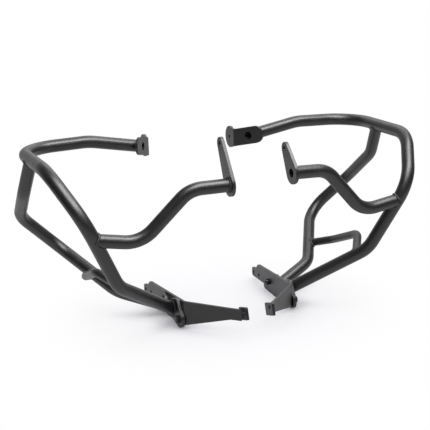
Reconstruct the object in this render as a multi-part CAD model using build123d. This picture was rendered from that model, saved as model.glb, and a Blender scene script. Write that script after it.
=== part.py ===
from build123d import *
import os
from math import cos, radians, sin

# Motorcycle crash bars: two welded tube guards with their mounting plates and lower brackets.
# Millimetres. X crosses the bike with 0 on its centre plane, Y runs to the rear, Z runs up.
# All points below belong to the guard on the +X side. The other guard is its mirror image,
# apart from its middle mount, which sits at another height.

# Tube stock
loop_od = 25.4
branch_od = 25.0
brace_od = 17.2
tube_wall = 2.0
end_stock = 40.0
seam_turn = 60.0     # the tube's own seam, turned away from the joints

# Main loop, from the back of the upper mount over the top rail and down to the lower lug
loop_bends = [(234, 91, 162), (376, 90, 158), (368, -140, 158), (324, -218, 78), (260, -175, -61)]
loop_foot = (136, -84, -151)
loop_radii = [120, 70, 80, 75, 70]

# Inner tube, from the top rail back and down to the lower bracket
inner_from_corner = 108.0
inner_points = [(383, 25, 88), (380, 120, 17), (301, 159, -66), (217, 5, -134), (143, -23, -161)]
inner_radii = [70, 60, 60, 55]

# Brace, from the inner tube forward to the lower run of the loop
brace_from_bend = 123.0
brace_to_bend = 27.0
brace_points = [(280, 2, -91), (281, -98, -52)]
brace_radii = [40, 36]

# Middle tube, from the front run of the loop to the strap
middle_from_bend = 41.0
middle_radii = [60, 55]
middle_points_right = [(224, -212, 31), (136, -230, 125)]
middle_points_left = [(224, -212, 28), (136, -230, 119)]

# Strap plates of the middle mount, given as Y and Z of the tube end and of the bolt hole
strap_x = 59.0
strap_thickness = 6.0
strap_rim = 8.5
strap_nose = 12.0
strap_opening = 17.0
strap_end_right = (-238, 129)
strap_hole_right = (-210, 170)
strap_end_left = (-238, 120.5)
strap_hole_left = (-200, 189.5)

# Upper mount: a flat flange along the frame, folded outward to carry the loop
plate_thickness = 5.0
fold_inside = 4.0
strip_height = 500.0
flange_x = 97.0
flange_fold_y = 123.5
flange_centre = (147, 132)
flange_radius = 23.5
mount_height = 38.0
mount_fold_z = 133.0
mount_angle = 36.0
mount_reach = 54.0
mount_rise = 11.0
mount_nose = 18.5
mount_opening = 16.5
mount_opening_at = 37.0

# Lower bracket: a back wing and a front arm folded from one sheet, with a pad on the arm's tip.
# Sizes named back, and the wing's own holes, are measured from its rear end.
fold_x = 118.0
fold_y = -119.0
wing_angle = 3.2
arm_angle = 46.5
fold_top = -131.0
fold_bottom = -180.5
wing_length = 221.0
wing_rear_top = -145.0
shoulder_back = 37.0
tongue_top = -160.0
tongue_bottom = -181.0
tongue_length = 20.5
step_back = 72.0
step_top = -177.5
wing_belly = -187.0
belly_back = 137.0
wing_corner = 7.0
wing_hole_front = (43, -168)
wing_hole_rear = (11, -171)
arm_straight = 98.0
arm_tip_top = -134.5
arm_tip_bottom = -157.0
pad_x = 24.5
pad_thickness = 5.5
pad_length = 34.0
pad_height = 24.5
pad_pitch = 17.0
pad_centre = (-206.5, -140.6)
pad_corner = 2.0
pad_hole_at = (-5, 4)

# Lugs that bolt the tubes to the wing, given along the wing and in Z
lug_thickness = 7.0
lug_bolt_at = (11, -170)
lug_eye = 17.0
loop_lug_at = (41, -157)
loop_lug_radius = 20.5
loop_lug_corner = (21, -136)
loop_lug_corner_radius = 5.0
inner_screw_at = (118.5, -164)
inner_screw_eye = 13.0
inner_lug_at = (93, -162)
inner_lug_radius = 20.5

# Fasteners
bolt_size = 8.0
bolt_clearance = 0.5
mount_hole = 9.0
hex_across = 13.0
bolt_head = 5.3
nut_height = 6.5
washer_od = 16.0
washer_thickness = 1.6
head_chamfer = 0.8
cap_od = 13.0
cap_height = 8.0
cap_socket = 6.0
cap_socket_depth = 4.0
thread_past_nut = 2.0

# Weld fillets
bead = 2.5

wing_dir = Vector(sin(radians(wing_angle)), cos(radians(wing_angle)), 0)
wing_out = Vector(cos(radians(wing_angle)), -sin(radians(wing_angle)), 0)
arm_dir = Vector(-sin(radians(arm_angle)), -cos(radians(arm_angle)), 0)
arm_in = Vector(-cos(radians(arm_angle)), sin(radians(arm_angle)), 0)
mount_dir = Vector(sin(radians(mount_angle)), -cos(radians(mount_angle)), 0)
mount_front = Vector(-cos(radians(mount_angle)), -sin(radians(mount_angle)), 0)

wing_plane = Plane(origin=(fold_x, fold_y, 0), x_dir=wing_dir, z_dir=wing_out)
lug_face = wing_plane.offset(lug_thickness)
wing_inside = wing_plane.offset(-plate_thickness)
arm_plane = Plane(origin=(fold_x, fold_y, 0), x_dir=arm_dir, z_dir=arm_in)
mount_plane = Plane(origin=(flange_x, flange_fold_y, 0), x_dir=mount_dir, z_dir=mount_front)
mount_back = Plane(origin=mount_plane.origin - mount_front * plate_thickness,
                   x_dir=-mount_dir, z_dir=-mount_front)
strap_face = Plane.YZ.offset(strap_x + strap_thickness)

opening_z = mount_fold_z + mount_rise * mount_opening_at / mount_reach
loop_head = mount_back.origin + mount_dir * mount_opening_at + Vector(0, 0, opening_z)
loop_points = [loop_head, *loop_bends, loop_foot]
wing_shoulder = wing_length - shoulder_back
wing_step = wing_length - step_back


def along(start, end, distance):
    """The point at a distance from start on the way to end."""
    start, end = Vector(*start), Vector(*end)
    return start + (end - start).normalized() * distance


def bar(points, radii, od):
    """A solid round bar along straight runs joined by bends."""
    route = FilletPolyline(*points, radius=radii)
    return sweep(Plane(route @ 0, z_dir=route % 0) * Rot(Z=seam_turn) * Circle(od / 2), path=route)


def tube(points, radii, od):
    return bar(points, radii, od) - bar(points, radii, od - 2 * tube_wall)


def straight(start, toward, od, length):
    """A straight round bar from start toward a point."""
    axis = Plane(start, z_dir=Vector(*toward) - Vector(*start))
    return extrude(axis * Circle(od / 2), amount=length)


def hits(plane, start, toward):
    """Where the line from start toward a point meets a plane."""
    start, step = Vector(*start), Vector(*toward) - Vector(*start)
    reach = (plane.origin - start).dot(plane.z_dir) / step.dot(plane.z_dir)
    return start + step * reach


def behind(plane, point):
    """Spare stock to take off behind a plate's face."""
    return extrude(Plane(point, z_dir=plane.z_dir) * Circle(2 * end_stock), amount=-2 * end_stock)


def round_hull(*circles):
    """The flat outline drawn tight round some circles, each given as centre and radius."""
    edges = [edge for (x, y), r in circles for edge in (Pos(x, y) * Circle(r)).edges()]
    return make_hull(edges)


def folded_strip(first, last, inward, route_plane):
    """A strip of sheet on edge, folded once at the plane's origin, with its outer faces on two plan lines."""
    route = FilletPolyline(first, route_plane.origin, last, radius=fold_inside + plate_thickness)
    start = Plane(route @ 0, x_dir=inward, z_dir=route % 0)
    return sweep(start * Pos(plate_thickness / 2, 0) * Rectangle(plate_thickness, strip_height), path=route)


def through(plane, outline):
    """A prism through a sheet, with which its outline is cut."""
    return extrude(plane * outline, amount=strip_height, both=True)


def upper_mount():
    """A flange along the frame, folded outward into the plate that carries the loop."""
    flange = Pos(*flange_centre) * Circle(flange_radius)
    root = flange_centre[0] - flange_fold_y
    flange += Pos(flange_fold_y + root / 2, mount_fold_z) * Rectangle(root, mount_height)
    flange -= Pos(*flange_centre) * Circle(mount_hole / 2)
    plate = mount_outline()
    plate -= Pos(mount_opening_at, opening_z) * Circle(mount_opening / 2)
    rear = Vector(flange_x, flange_centre[0] + 2 * flange_radius, 0)
    strip = folded_strip(rear, mount_plane.origin + mount_dir * (mount_reach + 2 * mount_nose),
                         (1, 0, 0), mount_plane)
    return strip & (through(Plane.YZ.offset(flange_x), flange) + through(mount_plane, plate))


def mount_outline():
    root = Line((0, mount_fold_z - mount_height / 2), (0, mount_fold_z + mount_height / 2))
    nose = Pos(mount_reach, mount_fold_z + mount_rise) * Circle(mount_nose)
    return make_hull([root.edge(), *nose.edges()])


def strap_outline(end, hole):
    return round_hull((end, branch_od / 2 + strap_rim), (hole, strap_nose))


def middle_strap(end, hole):
    face = strap_outline(end, hole)
    face -= Pos(*end) * Circle(strap_opening / 2)
    face -= Pos(*hole) * Circle(mount_hole / 2)
    return extrude(strap_face * face, amount=-strap_thickness)


def lower_bracket():
    """A back wing that carries the lugs and a front arm that reaches in to the pad, folded from one sheet."""
    tongue_start = wing_length - tongue_length
    wing = make_face(Polyline((0, fold_top), (wing_shoulder, wing_rear_top), (tongue_start, tongue_top),
                              (wing_length, tongue_top), (wing_length, tongue_bottom),
                              (wing_step, step_top), (wing_step, wing_belly),
                              (wing_length - belly_back, wing_belly), (0, fold_bottom), close=True))
    corners = [(wing_shoulder, wing_rear_top), (wing_length, tongue_top),
               (wing_length, tongue_bottom), (wing_step, wing_belly)]
    corner = min(wing_corner, 0.45 * (tongue_top - tongue_bottom), 0.8 * (step_top - wing_belly))
    wing = fillet([wing.vertices().sort_by_distance((*at, 0))[0] for at in corners], corner)
    for back, z in (wing_hole_front, wing_hole_rear):
        wing -= Pos(wing_length - back, z) * Circle(mount_hole / 2)
    for at in (lug_bolt_at, inner_screw_at):
        wing -= Pos(*at) * Circle((bolt_size + bolt_clearance) / 2)
    pad_side = Plane.YZ.offset(pad_x + pad_thickness)
    tip = (fold_x - pad_x) / sin(radians(arm_angle)) + plate_thickness
    arm = make_face(Polyline((0, fold_top), (arm_straight, arm_tip_top), (tip, arm_tip_top),
                             (tip, arm_tip_bottom), (arm_straight, arm_tip_bottom), (0, fold_bottom), close=True))
    strip = folded_strip(wing_plane.origin + wing_dir * (wing_length + wing_corner),
                         wing_plane.origin + arm_dir * (tip + wing_corner), -wing_out, wing_plane)
    sheet = strip & (through(wing_plane, wing) + through(arm_plane, arm))
    level = wing_plane.origin + Vector(0, 0, arm_tip_top)
    return sheet - behind(pad_side, hits(pad_side, level, level + arm_dir))


def tip_pad():
    face = fillet(Rectangle(pad_length, pad_height).vertices(), pad_corner)
    face -= Pos(*pad_hole_at) * Circle(mount_hole / 2)
    seat = Plane.YZ.offset(pad_x) * Pos(*pad_centre) * Rot(Z=-pad_pitch)
    return extrude(seat * face, amount=pad_thickness)


def loop_lug_outline():
    return round_hull((lug_bolt_at, lug_eye), (loop_lug_at, loop_lug_radius),
                      (loop_lug_corner, loop_lug_corner_radius))


def inner_lug_outline():
    return round_hull((inner_lug_at, inner_lug_radius), (inner_screw_at, inner_screw_eye))


def lug(outline, hole_at):
    hole = (bolt_size + bolt_clearance) / 2
    return extrude(wing_plane * (outline - Pos(*hole_at) * Circle(hole)), amount=lug_thickness)


def hexagon(across):
    return RegularPolygon(across / 2, 6, major_radius=False)


def lug_bolt():
    """Hex bolt from outside through washer, lug and wing, with its nut on the wing's inner face."""
    seat = lug_face.offset(washer_thickness) * Pos(*lug_bolt_at)
    reach = washer_thickness + lug_thickness + plate_thickness + nut_height + thread_past_nut
    head = extrude(hexagon(hex_across), amount=bolt_head)
    head = chamfer(head.faces().sort_by(Axis.Z)[-1].edges(), head_chamfer)
    return seat * (head + extrude(Circle(bolt_size / 2), amount=-reach))


def lug_washer():
    ring = Circle(washer_od / 2) - Circle((bolt_size + bolt_clearance) / 2)
    return lug_face * Pos(*lug_bolt_at) * extrude(ring, amount=washer_thickness)


def nut():
    body = extrude(hexagon(hex_across) - Circle(bolt_size / 2), amount=nut_height)
    return body


def lug_nut():
    return wing_inside * Pos(*lug_bolt_at) * Rot(X=180) * nut()


def inner_screw():
    """Socket head screw from the wing's inner face out through the inner lug."""
    seat = wing_inside * Pos(*inner_screw_at) * Rot(X=180)
    reach = plate_thickness + lug_thickness + nut_height + thread_past_nut
    head = extrude(Circle(cap_od / 2), amount=cap_height)
    head = chamfer(head.faces().sort_by(Axis.Z)[-1].edges(), head_chamfer)
    head -= Pos(0, 0, cap_height - cap_socket_depth) * extrude(hexagon(cap_socket), amount=cap_socket_depth)
    return seat * (head + extrude(Circle(bolt_size / 2), amount=-reach))


def inner_nut():
    return lug_face * Pos(*inner_screw_at) * nut()


def foot_bead(plane, outline, start, toward, od):
    """A weld round a tube's end, on the face of the plate that carries it."""
    centre = hits(plane, start, toward)
    first = along(centre, toward, -od)
    sleeve = straight(first, toward, od + 2 * bead, 3 * od)
    core = straight(first, toward, od, 3 * od)
    return (extrude(plane * outline, amount=bead, dir=plane.z_dir) & sleeve) - core


def saddle_bead(parent, parent_wide, parent_od, start, toward, od):
    """A weld round a coped joint, where one tube lands on the side of another."""
    sleeve = straight(along(start, toward, parent_od / 4), toward, od + 2 * bead, 3 * od)
    core = straight(start, toward, od, 4 * od)
    return (sleeve & parent_wide) - parent - core


def guard(middle_points, strap_end, strap_hole):
    """Every piece of the guard on the +X side."""
    strap_point = Vector(strap_x + strap_thickness, *strap_end)
    loop_route = [along(loop_points[0], loop_points[1], -end_stock), *loop_points[1:-1],
                  along(loop_points[-1], loop_points[-2], -end_stock)]
    loop_bar = bar(loop_route, loop_radii, loop_od)
    loop_wide = bar(loop_route, loop_radii, loop_od + 2 * bead)

    inner_start = along(loop_points[2], loop_points[3], inner_from_corner)
    inner_route = [inner_start, *inner_points[:-1], along(inner_points[-1], inner_points[-2], -end_stock)]
    inner_bar = bar(inner_route, inner_radii, branch_od)
    inner_wide = bar(inner_route, inner_radii, branch_od + 2 * bead)

    brace_start = along(inner_points[2], inner_points[3], brace_from_bend)
    brace_end = along(loop_points[5], loop_points[6], brace_to_bend)
    brace_route = [brace_start, *brace_points, brace_end]

    middle_start = along(loop_points[4], loop_points[5], middle_from_bend)
    middle_route = [middle_start, *middle_points, along(strap_point, middle_points[-1], -end_stock)]

    upper_at = hits(mount_back, loop_points[0], loop_points[1])
    lower_at = hits(lug_face, loop_points[-1], loop_points[-2])
    inner_at = hits(lug_face, inner_points[-1], inner_points[-2])

    loop = tube(loop_route, loop_radii, loop_od) - behind(mount_back, upper_at) - behind(lug_face, lower_at)
    inner = tube(inner_route, inner_radii, branch_od) - loop_bar - behind(lug_face, inner_at)
    middle = tube(middle_route, middle_radii, branch_od) - loop_bar - behind(strap_face, strap_point)
    brace = tube(brace_route, brace_radii, brace_od) - loop_bar - inner_bar

    beads = [
        foot_bead(mount_back, Rot(Y=180) * mount_outline(), loop_points[0], loop_points[1], loop_od),
        foot_bead(lug_face, loop_lug_outline(), loop_points[-1], loop_points[-2], loop_od),
        foot_bead(lug_face, inner_lug_outline(), inner_points[-1], inner_points[-2], branch_od),
        foot_bead(strap_face, strap_outline(strap_end, strap_hole), strap_point, middle_points[-1], branch_od),
        saddle_bead(loop_bar, loop_wide, loop_od, inner_start, inner_points[0], branch_od),
        saddle_bead(loop_bar, loop_wide, loop_od, middle_start, middle_points[0], branch_od),
        saddle_bead(inner_bar, inner_wide, branch_od, brace_start, brace_points[0], brace_od),
        saddle_bead(loop_bar, loop_wide, loop_od, brace_end, brace_points[-1], brace_od),
    ]
    return {
        "loop_tube": loop,
        "inner_tube": inner,
        "middle_tube": middle,
        "brace_tube": brace,
        "upper_mount": upper_mount(),
        "middle_strap": middle_strap(strap_end, strap_hole),
        "lower_bracket": lower_bracket(),
        "tip_pad": tip_pad(),
        "loop_lug": lug(loop_lug_outline(), lug_bolt_at),
        "inner_lug": lug(inner_lug_outline(), inner_screw_at),
        "lug_bolt": lug_bolt(),
        "lug_washer": lug_washer(),
        "lug_nut": lug_nut(),
        "inner_screw": inner_screw(),
        "inner_nut": inner_nut(),
        "weld_beads": Compound([solid for weld in beads for solid in weld.solids()]),
    }


right = guard(middle_points_right, strap_end_right, strap_hole_right)
left = guard(middle_points_left, strap_end_left, strap_hole_left)
nodes = {"right_" + name: shape for name, shape in right.items()}
nodes.update({"left_" + name: mirror(shape, about=Plane.YZ) for name, shape in left.items()})

# The origin is under the middle of the pair, level with its lowest point.
box = Compound([solid for shape in nodes.values() for solid in shape.solids()]).bounding_box()
seat = Pos(-box.center().X, -box.center().Y, -box.min.Z)

os.makedirs("parts", exist_ok=True)
for name, shape in nodes.items():
    export_step(seat * shape, f"parts/{name}.step")
print("box", box.min, box.max, "size", box.size)
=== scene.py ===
import math
import bmesh
import bpy
from mathutils import Matrix, Vector
from mathutils.bvhtree import BVHTree


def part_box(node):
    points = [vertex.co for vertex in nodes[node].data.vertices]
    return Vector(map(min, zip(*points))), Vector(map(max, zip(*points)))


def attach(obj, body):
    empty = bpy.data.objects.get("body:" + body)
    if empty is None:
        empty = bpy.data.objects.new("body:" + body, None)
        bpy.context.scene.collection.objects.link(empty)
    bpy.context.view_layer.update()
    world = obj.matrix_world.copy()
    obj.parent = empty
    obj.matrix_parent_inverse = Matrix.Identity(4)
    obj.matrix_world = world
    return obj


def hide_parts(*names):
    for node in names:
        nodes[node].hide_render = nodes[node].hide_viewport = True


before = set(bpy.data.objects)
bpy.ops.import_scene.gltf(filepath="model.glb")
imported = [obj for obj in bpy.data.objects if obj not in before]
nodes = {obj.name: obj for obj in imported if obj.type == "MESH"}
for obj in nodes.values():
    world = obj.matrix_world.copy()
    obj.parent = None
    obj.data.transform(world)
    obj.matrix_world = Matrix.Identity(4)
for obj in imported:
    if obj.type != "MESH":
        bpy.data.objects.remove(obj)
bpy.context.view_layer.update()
mm = 0.001
mergeStep = 0.002                               # mm, points nearer than this are one point
designOrigin = Vector((0.0, 44.25, 187.0))      # mm, between the guards, where the design's points start from
sides = {"left": -1, "right": 1}                # which way along X each guard lies
fastenerKinds = ("lug_bolt", "lug_washer", "lug_nut", "inner_screw", "inner_nut")
print("frame:", len(nodes), "nodes in the crash bars")

scene = bpy.context.scene
scene.view_settings.view_transform = "Standard"


def towards(azimuth, elevation):
    turn, rise = math.radians(azimuth), math.radians(elevation)
    return Vector((math.sin(turn) * math.cos(rise), -math.cos(turn) * math.cos(rise), math.sin(rise)))


def facing(way):
    return way.to_track_quat("Z", "Y").to_matrix()


def mirrored(point, side):
    return Vector((point[0] * sides[side], point[1], point[2]))


# the photograph's viewpoint

cameraSpot = {
    "azimuth": -21.23,      # degrees off straight ahead, here to the left guard's side
    "elevation": 15.13,
    "roll": -1.73,
    "distance": 1918.9,     # mm from the design's origin
    "lens": 77.67,          # mm
    "sensor": 36.0,         # mm
    "sight": 200.0,         # m
}


def placeCamera():
    camera = bpy.data.objects.new("camera", bpy.data.cameras.new("camera"))
    scene.collection.objects.link(camera)
    camera.data.lens = cameraSpot["lens"]
    camera.data.sensor_width = cameraSpot["sensor"]
    camera.data.clip_end = cameraSpot["sight"]
    back = towards(cameraSpot["azimuth"], cameraSpot["elevation"])
    spot = (designOrigin + back * cameraSpot["distance"]) * mm
    roll = Matrix.Rotation(math.radians(cameraSpot["roll"]), 4, "Z")
    camera.matrix_world = Matrix.Translation(spot) @ facing(back).to_4x4() @ roll
    scene.camera = camera


placeCamera()
print("camera placed")


# finishes

noiseSpan = (0.3, 0.7)      # between these the noise has nearly all its values


def linear(hexCode):
    channels = [int(hexCode[i:i + 2], 16) / 255 for i in (1, 3, 5)]
    return tuple(c / 12.92 if c <= 0.04045 else ((c + 0.055) / 1.055) ** 2.4 for c in channels) + (1.0,)


def newMaterial(name):
    material = bpy.data.materials.new(name)
    material.use_nodes = True
    material.node_tree.nodes.clear()
    return material, material.node_tree


def addNode(tree, kind, settings=None, **sockets):
    node = tree.nodes.new(kind)
    for name, value in (settings or {}).items():
        setattr(node, name, value)
    for name, value in sockets.items():
        socket = node.inputs[int(name[1:])] if name[1:].isdigit() else node.inputs[name.replace("_", " ")]
        if isinstance(value, bpy.types.NodeSocket):
            tree.links.new(value, socket)
        else:
            socket.default_value = value
    return node


def objectPlace(tree):
    return addNode(tree, "ShaderNodeTexCoord").outputs["Object"]


def noise(tree, place, size, detail):
    node = addNode(tree, "ShaderNodeTexNoise", Vector=place, Scale=1 / (size * mm), Detail=detail)
    return node.outputs["Fac"]


def bump(tree, height, depth, strength=1.0, **below):
    node = addNode(tree, "ShaderNodeBump", Height=height, Distance=depth * mm, Strength=strength, **below)
    return node.outputs["Normal"]


def maths(tree, operation, first, second):
    return addNode(tree, "ShaderNodeMath", {"operation": operation}, _0=first, _1=second).outputs[0]


def remap(tree, value, start, end, easing="LINEAR"):
    node = addNode(tree, "ShaderNodeMapRange", {"interpolation_type": easing}, Value=value,
                   From_Min=start[0], From_Max=start[1], To_Min=end[0], To_Max=end[1])
    return node.outputs["Result"]


def cloudy(tree, place, finish):
    cloud = noise(tree, place, finish["cloud"], 3.0)
    tone = addNode(tree, "ShaderNodeMix", {"data_type": "RGBA"}, _0=cloud,
                   _6=linear(finish["dark"]), _7=linear(finish["light"]))
    return tone.outputs[2], remap(tree, cloud, noiseSpan, finish["rough"])


powderCoat = {
    "dark": "#111113",
    "light": "#18181b",
    "cloud": 22.0,          # mm, slow change of tone from uneven film build
    "rough": (0.39, 0.46),  # least and most
    "peel": 1.8,            # mm, orange-peel dimples
    "peelDepth": 0.003,     # mm
    "grain": 0.4,           # mm, fine grit of the satin powder, drawn at the finest size that shows
    "grainDepth": 0.0012,   # mm
    "bend": 1.55,           # index of refraction of the clear resin
}


def makePowderCoat():
    # satin black polyester powder on steel: near black, soft wide highlights broken by a faint orange peel
    material, tree = newMaterial("satinBlackPowderCoat")
    place = objectPlace(tree)
    tone, rough = cloudy(tree, place, powderCoat)
    peel = bump(tree, noise(tree, place, powderCoat["peel"], 1.0), powderCoat["peelDepth"])
    grain = bump(tree, noise(tree, place, powderCoat["grain"], 1.0), powderCoat["grainDepth"], Normal=peel)
    shader = addNode(tree, "ShaderNodeBsdfPrincipled", Base_Color=tone, Metallic=0.0, IOR=powderCoat["bend"],
                     Roughness=rough, Normal=grain)
    addNode(tree, "ShaderNodeOutputMaterial", Surface=shader.outputs["BSDF"])
    return material


blackZinc = {
    "dark": "#232326",
    "light": "#37373b",
    "cloud": 3.0,           # mm, patchy passivated zinc
    "rough": (0.26, 0.4),   # least and most
    "scratch": 0.5,         # mm, tool marks
    "scratchDepth": 0.01,   # mm
    "metal": 0.5,           # the dark passivation hides half of the metal's shine
}


def makeBlackZinc():
    # black zinc-plated steel fasteners: tighter highlights than the powder coat, slightly patchy
    material, tree = newMaterial("blackZincSteel")
    place = objectPlace(tree)
    tone, rough = cloudy(tree, place, blackZinc)
    marks = bump(tree, noise(tree, place, blackZinc["scratch"], 2.0), blackZinc["scratchDepth"])
    shader = addNode(tree, "ShaderNodeBsdfPrincipled", Base_Color=tone, Metallic=blackZinc["metal"],
                     Roughness=rough, Normal=marks)
    addNode(tree, "ShaderNodeOutputMaterial", Surface=shader.outputs["BSDF"])
    return material


coat = makePowderCoat()
zinc = makeBlackZinc()
for name, node in nodes.items():
    finish = zinc if name.split("_", 1)[1] in fastenerKinds else coat
    if not node.data.materials:
        node.data.materials.append(finish)
    for slot in node.material_slots:
        slot.material = finish
print("finishes on", len(nodes), "nodes")


# plates and lugs, with the softened edges of blasted and coated sheet

softEdges = {
    "plate": 0.4,           # mm, cut edges softened by blasting and the powder film
    "fastener": 0.3,        # mm, rolled edges of forged heads and nuts
    "steps": 2,
    "flush": 1,             # degrees, faces nearer to one plane than this are one face
    "sharp": 38,            # degrees, what counts as an edge
    "flatWeight": 80,       # how far the large faces outweigh the rounding beside them
}
plateKinds = ("upper_mount", "middle_strap", "lower_bracket", "tip_pad", "loop_lug", "inner_lug")


def nodeCopy(name):
    shape = bmesh.new()
    shape.from_mesh(nodes[name].data)
    bmesh.ops.remove_doubles(shape, verts=shape.verts, dist=mergeStep * mm)
    return shape


def roundEdges(shape, width):
    bmesh.ops.dissolve_limit(shape, angle_limit=math.radians(softEdges["flush"]), verts=shape.verts,
                             edges=shape.edges)
    cut = [edge for edge in shape.edges if edge.calc_face_angle(0) > math.radians(softEdges["sharp"])]
    bmesh.ops.bevel(shape, geom=cut, offset=width * mm, offset_type="OFFSET", affect="EDGES",
                    segments=softEdges["steps"], profile=0.5, material=-1, clamp_overlap=True)
    bmesh.ops.dissolve_degenerate(shape, dist=mergeStep * mm, edges=shape.edges)
    for face in shape.faces:
        face.smooth = True


def camel(nodeName):
    first, *rest = nodeName.split("_")
    return first + "".join(word.capitalize() for word in rest)


def makePiece(nodeName, shape, finish):
    name = camel(nodeName)
    mesh = bpy.data.meshes.new(name)
    shape.to_mesh(mesh)
    shape.free()
    mesh.materials.append(finish)
    piece = bpy.data.objects.new(name, mesh)
    scene.collection.objects.link(piece)
    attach(piece, "root")
    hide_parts(nodeName)
    return piece


def keepFlat(piece):
    # flat faces stay flat up to their rounded edges
    piece.modifiers.new("flatFaces", "WEIGHTED_NORMAL").weight = softEdges["flatWeight"]


for side in sides:
    for plate in plateKinds:
        nodeName = side + "_" + plate
        shape = nodeCopy(nodeName)
        roundEdges(shape, softEdges["plate"])
        keepFlat(makePiece(nodeName, shape, coat))
print("plates rounded:", len(sides) * len(plateKinds))


# bolts, nuts and washers

threadEnd = {
    "size": 8.0,            # mm, coarse M8
    "pitch": 1.25,          # mm
    "depth": 0.65,          # mm
    "foot": 0.44,           # half the ridge's foot, as a share of the pitch
    "crest": 0.055,         # half the ridge's crest, as a share of the pitch
    "sunk": 0.1,            # mm that the ridge's foot lies inside the core
    "past": 2.0,            # mm that shows past the nut
    "tip": 0.6,             # mm, turned down at the very end
    "steps": 32,            # round one turn
    "nutHeight": 6.5,       # mm
    "wingTurn": 3.2,        # degrees that the bracket's back wing stands off the bike's centre plane
    # each bolt's nut, with 1 where the bolt points away from the bike's centre plane and -1 where towards it
    "bolts": {"lug_bolt": ("lug_nut", -1), "inner_screw": ("inner_nut", 1)},
}


def addThread(shape):
    radius, pitch, past = threadEnd["size"] / 2, threadEnd["pitch"], threadEnd["past"]
    core = radius - threadEnd["depth"]
    rise = past - threadEnd["tip"]
    corners = [(0, -pitch), (core, -pitch), (core, rise), (core - threadEnd["tip"], past), (0, past)]
    line = [shape.verts.new((across, 0, up)) for across, up in corners]
    edges = [shape.edges.new(pair) for pair in zip(line, line[1:])]
    bmesh.ops.spin(shape, geom=line + edges, cent=(0, 0, 0), axis=(0, 0, 1), angle=2 * math.pi,
                   steps=threadEnd["steps"], use_merge=True)
    inside, foot, crest = core - threadEnd["sunk"], threadEnd["foot"] * pitch, threadEnd["crest"] * pitch
    section = [(inside, -foot), (radius, -crest), (radius, crest), (inside, foot)]
    ridge = [shape.verts.new((across, 0, up - pitch / 2)) for across, up in section]
    start = shape.faces.new(ridge)
    steps = round((rise / pitch + 0.5) * threadEnd["steps"])
    bmesh.ops.spin(shape, geom=[start, *start.edges, *ridge], cent=(0, 0, 0), axis=(0, 0, 1),
                   dvec=(0, 0, pitch / threadEnd["steps"]),
                   angle=steps / threadEnd["steps"] * 2 * math.pi, steps=steps)
    bmesh.ops.remove_doubles(shape, verts=shape.verts, dist=mergeStep)
    bmesh.ops.recalc_face_normals(shape, faces=shape.faces)


def cutToNut(shape, face, way):
    whole = [*shape.verts, *shape.edges, *shape.faces]
    bmesh.ops.bisect_plane(shape, geom=whole, plane_co=face, plane_no=way, clear_outer=True)
    rim = [edge for edge in shape.edges if edge.is_boundary]
    bmesh.ops.contextual_create(shape, geom=rim)


def addEnd(shape, face, way):
    end = bmesh.new()
    addThread(end)
    stand = Matrix.Translation(face) @ facing(way).to_4x4() @ Matrix.Scale(mm, 4)
    bmesh.ops.transform(end, matrix=stand, verts=end.verts)
    mesh = bpy.data.meshes.new("threadEnd")
    end.to_mesh(mesh)
    end.free()
    shape.from_mesh(mesh)
    bpy.data.meshes.remove(mesh)


def makeBolt(shape, side, nut, way):
    turn = math.radians(threadEnd["wingTurn"])
    out = mirrored((math.cos(turn), -math.sin(turn), 0), side) * way
    low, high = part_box(side + "_" + nut)
    face = (Vector(low) + Vector(high)) / 2 + out * threadEnd["nutHeight"] / 2 * mm
    cutToNut(shape, face, out)
    roundEdges(shape, softEdges["fastener"])
    addEnd(shape, face, out)


for side in sides:
    for kind in fastenerKinds:
        nodeName = side + "_" + kind
        shape = nodeCopy(nodeName)
        if kind in threadEnd["bolts"]:
            makeBolt(shape, side, *threadEnd["bolts"][kind])
        else:
            roundEdges(shape, softEdges["fastener"])
        keepFlat(makePiece(nodeName, shape, zinc))
print("fasteners:", len(sides) * len(fastenerKinds))


# weld beads

weldBead = {
    "width": 2.4,           # mm, half the bead's width
    "ripple": 2.3,          # mm, from one ripple to the next
    "rippleDepth": 0.22,    # mm
    "rippleLag": 0.35,      # radians of a ripple for each mm outward, which bows the ripples
    "steps": 7,             # round each ripple
    "profile": 12,          # round the bead's own section
    "reach": 30.0,          # mm, how far off the joint the bead is set down from
}
tubeRadius = {"loop": 12.7, "branch": 12.5, "brace": 8.6}       # mm
tubePoints = {
    # mm from the design's origin on the right guard: the bends and ends of the runs that are welded
    "loopHead": (122.8, 96.5, 140.5),
    "headBend": (234, 91, 162),
    "railRear": (376, 90, 158),
    "railFront": (368, -140, 158),
    "frontTop": (324, -218, 78),
    "frontFoot": (260, -175, -61),
    "loopFoot": (136, -84, -151),
    "innerTop": (383, 25, 88),
    "innerRear": (301, 159, -66),
    "innerLow": (217, 5, -134),
    "innerFoot": (143, -23, -161),
    "braceRear": (280, 2, -91),
    "braceFront": (281, -98, -52),
    # the two middle tubes differ
    "strapEnd": {"right": (65, -238, 129), "left": (65, -238, 120.5)},
    "strapBend": {"right": (136, -230, 125), "left": (136, -230, 119)},
    "middleBend": {"right": (224, -212, 31), "left": (224, -212, 28)},
}
weldJoints = [
    # what the tube lands on, a point on its axis there or a run and mm along it, its next bend, its stock
    ("upper_mount", "loopHead", "headBend", "loop"),
    ("loop_lug", "loopFoot", "frontFoot", "loop"),
    ("inner_lug", "innerFoot", "innerLow", "branch"),
    ("middle_strap", "strapEnd", "strapBend", "branch"),
    ("loop_tube", ("railRear", "railFront", 108), "innerTop", "branch"),
    ("loop_tube", ("frontTop", "frontFoot", 41), "middleBend", "branch"),
    ("inner_tube", ("innerRear", "innerLow", 123), "braceRear", "brace"),
    ("loop_tube", ("frontFoot", "loopFoot", 27), "braceFront", "brace"),
]


def tubePoint(name, side):
    point = tubePoints[name]
    return designOrigin + mirrored(point[side] if isinstance(point, dict) else point, side)


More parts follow.
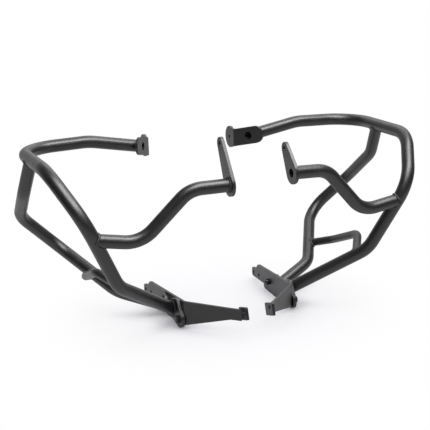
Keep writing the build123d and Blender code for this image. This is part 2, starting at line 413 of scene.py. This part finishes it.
def jointPoint(spot, side):
    if isinstance(spot, str):
        return tubePoint(spot, side)
    start, end = tubePoint(spot[0], side), tubePoint(spot[1], side)
    return start + (end - start).normalized() * spot[2]


def addBead(shape, ground, middle, way, radius):
    count = round(2 * math.pi * radius / weldBead["ripple"])
    steps = count * weldBead["steps"]
    circle = bmesh.ops.create_circle(shape, segments=weldBead["profile"], radius=weldBead["width"])["verts"]
    bmesh.ops.rotate(shape, verts=circle, cent=(0, 0, 0), matrix=Matrix.Rotation(math.pi / 2, 3, "X"))
    bmesh.ops.translate(shape, verts=circle, vec=(radius, 0, 0))
    edges = list(dict.fromkeys(edge for vert in circle for edge in vert.link_edges))
    bmesh.ops.spin(shape, geom=circle + edges, cent=(0, 0, 0), axis=(0, 0, 1), angle=2 * math.pi,
                   steps=steps, use_merge=True)
    ring = [vert for vert in shape.verts if not vert.tag]
    stand = facing(way)
    drops = {}
    for vert in ring:
        vert.tag = True
        turn = math.atan2(vert.co.y, vert.co.x)
        step = round(turn / (2 * math.pi) * steps) % steps
        if step not in drops:
            rim = middle + stand @ Vector((math.cos(turn), math.sin(turn), 0)) * radius
            start = rim + way * weldBead["reach"]
            hit = ground.ray_cast(start * mm, -way)[0] or ground.find_nearest(rim * mm)[0]
            drops[step] = (hit / mm - middle).dot(way)
        across, up = math.hypot(vert.co.x, vert.co.y) - radius, vert.co.z
        ripple = math.sin(count * turn + weldBead["rippleLag"] * across)
        swell = 1 + weldBead["rippleDepth"] / weldBead["width"] * ripple
        out = radius + across * swell
        spot = Vector((math.cos(turn) * out, math.sin(turn) * out, up * swell + drops[step]))
        vert.co = (middle + stand @ spot) * mm


for side in sides:
    shape = bmesh.new()
    for landing, spot, bend, stock in weldJoints:
        ground = nodeCopy(side + "_" + landing)
        middle = jointPoint(spot, side)
        way = (tubePoint(bend, side) - middle).normalized()
        addBead(shape, BVHTree.FromBMesh(ground), middle, way, tubeRadius[stock])
        ground.free()
    bmesh.ops.remove_doubles(shape, verts=shape.verts, dist=mergeStep * mm)
    bmesh.ops.recalc_face_normals(shape, faces=shape.faces)
    for face in shape.faces:
        face.smooth = True
    makePiece(side + "_weld_beads", shape, coat)
print("weld beads:", len(sides) * len(weldJoints))


# studio

sweep = {
    "size": 2.6,            # m, beyond it the surround shows
    "white": "#f2f2f8",
    "fade": (0.10, 0.42),   # m from the middle, where the floor turns to plain white
    "contact": 0.05,        # m, how near the guards the floor is shaded deeply
    "samples": 16,
    "open": (0.55, 1.0),    # share of the sky above that the near guards leave open, from deep to light shade
    "least": (0.1, 0.55),   # share of plain white in the deep shade and in the light shade
    "fibre": 4.0,           # mm
    "fibreDepth": 0.02,     # mm
    "fibreStrength": 0.4,
}


def makeSweep():
    # matt white paper sweep: only the guards' soft shadow shows on it, deepest where they stand
    material, tree = newMaterial("paperSweep")
    place = objectPlace(tree)
    near = addNode(tree, "ShaderNodeAmbientOcclusion", {"samples": sweep["samples"]},
                   Distance=sweep["contact"])
    least = remap(tree, near.outputs["AO"], sweep["open"], sweep["least"], "SMOOTHSTEP")
    middle = addNode(tree, "ShaderNodeVectorMath", {"operation": "LENGTH"}, _0=place).outputs["Value"]
    share = remap(tree, middle, sweep["fade"], (least, 1.0), "SMOOTHSTEP")
    path = addNode(tree, "ShaderNodeLightPath").outputs
    seen = maths(tree, "MAXIMUM", path["Is Camera Ray"], path["Is Glossy Ray"])
    seen = maths(tree, "MAXIMUM", seen, path["Is Transmission Ray"])
    fibre = bump(tree, noise(tree, place, sweep["fibre"], 2.0), sweep["fibreDepth"], sweep["fibreStrength"])
    paper = addNode(tree, "ShaderNodeBsdfDiffuse", Color=linear(sweep["white"]), Normal=fibre)
    plain = addNode(tree, "ShaderNodeEmission", Color=(1, 1, 1, 1), Strength=1.0)
    blend = addNode(tree, "ShaderNodeMixShader", _0=maths(tree, "MULTIPLY", share, seen),
                    _1=paper.outputs[0], _2=plain.outputs[0])
    addNode(tree, "ShaderNodeOutputMaterial", Surface=blend.outputs[0])

    shape = bmesh.new()
    bmesh.ops.create_grid(shape, x_segments=1, y_segments=1, size=sweep["size"] / 2)
    mesh = bpy.data.meshes.new("paperSweep")
    shape.to_mesh(mesh)
    shape.free()
    mesh.materials.append(material)
    paperSweep = bpy.data.objects.new("paperSweep", mesh)
    scene.collection.objects.link(paperSweep)


softboxes = {
    # azimuth and elevation in degrees, distance and the box's two sides in m, watts, what it lights
    "topBox": (10, 80, 2.0, (2.0, 1.8), 8.0, "matt"),
    "glossBox": (17, 66, 2.2, (2.3, 1.2), 128.0, "gloss"),
    "backBox": (145, 50, 2.4, (2.4, 1.4), 22.0, "gloss"),
}


def hangSoftboxes():
    for name, (azimuth, elevation, distance, size, watts, lit) in softboxes.items():
        lamp = bpy.data.lights.new(name, "AREA")
        lamp.shape = "RECTANGLE"
        lamp.size, lamp.size_y = size
        lamp.energy = watts
        way = towards(azimuth, elevation)
        softbox = bpy.data.objects.new(name, lamp)
        softbox.location = designOrigin * mm + way * distance
        softbox.rotation_euler = facing(way).to_euler()
        softbox.visible_diffuse = lit == "matt"
        softbox.visible_glossy = lit == "gloss"
        scene.collection.objects.link(softbox)


surround = {
    "light": 1.0,                       # on matt surfaces, all round
    "glow": 1.0,                        # in gloss, from the white back of the studio
    "front": (-0.28, -0.92, 0.26),      # the studio's dark side, behind the camera
    "frontGlow": 0.09,                  # in gloss, from the dark side
    "fade": (-1.0, -0.1),               # how squarely a way faces the dark side, from white to dark
}


def lightSurround():
    # plain white to the eye, and darker in gloss towards the front, as a room behind the camera is
    world = bpy.data.worlds.new("whiteSurround")
    scene.world = world
    world.use_nodes = True
    tree = world.node_tree
    tree.nodes.clear()
    path = addNode(tree, "ShaderNodeLightPath").outputs
    way = addNode(tree, "ShaderNodeTexCoord").outputs["Generated"]
    square = addNode(tree, "ShaderNodeVectorMath", {"operation": "DOT_PRODUCT"}, _0=way,
                     _1=surround["front"])
    glow = remap(tree, square.outputs["Value"], surround["fade"], (surround["glow"], surround["frontGlow"]),
                 "SMOOTHSTEP")
    seen = maths(tree, "MAXIMUM", path["Is Camera Ray"], path["Is Transmission Ray"])
    gloss = maths(tree, "MULTIPLY", path["Is Glossy Ray"], glow)
    matt = maths(tree, "MULTIPLY", path["Is Diffuse Ray"], surround["light"])
    strength = maths(tree, "MAXIMUM", maths(tree, "MAXIMUM", seen, gloss), matt)
    sky = addNode(tree, "ShaderNodeBackground", Color=(1, 1, 1, 1), Strength=strength)
    addNode(tree, "ShaderNodeOutputWorld", Surface=sky.outputs[0])


makeSweep()
hangSoftboxes()
lightSurround()
print("studio lit")
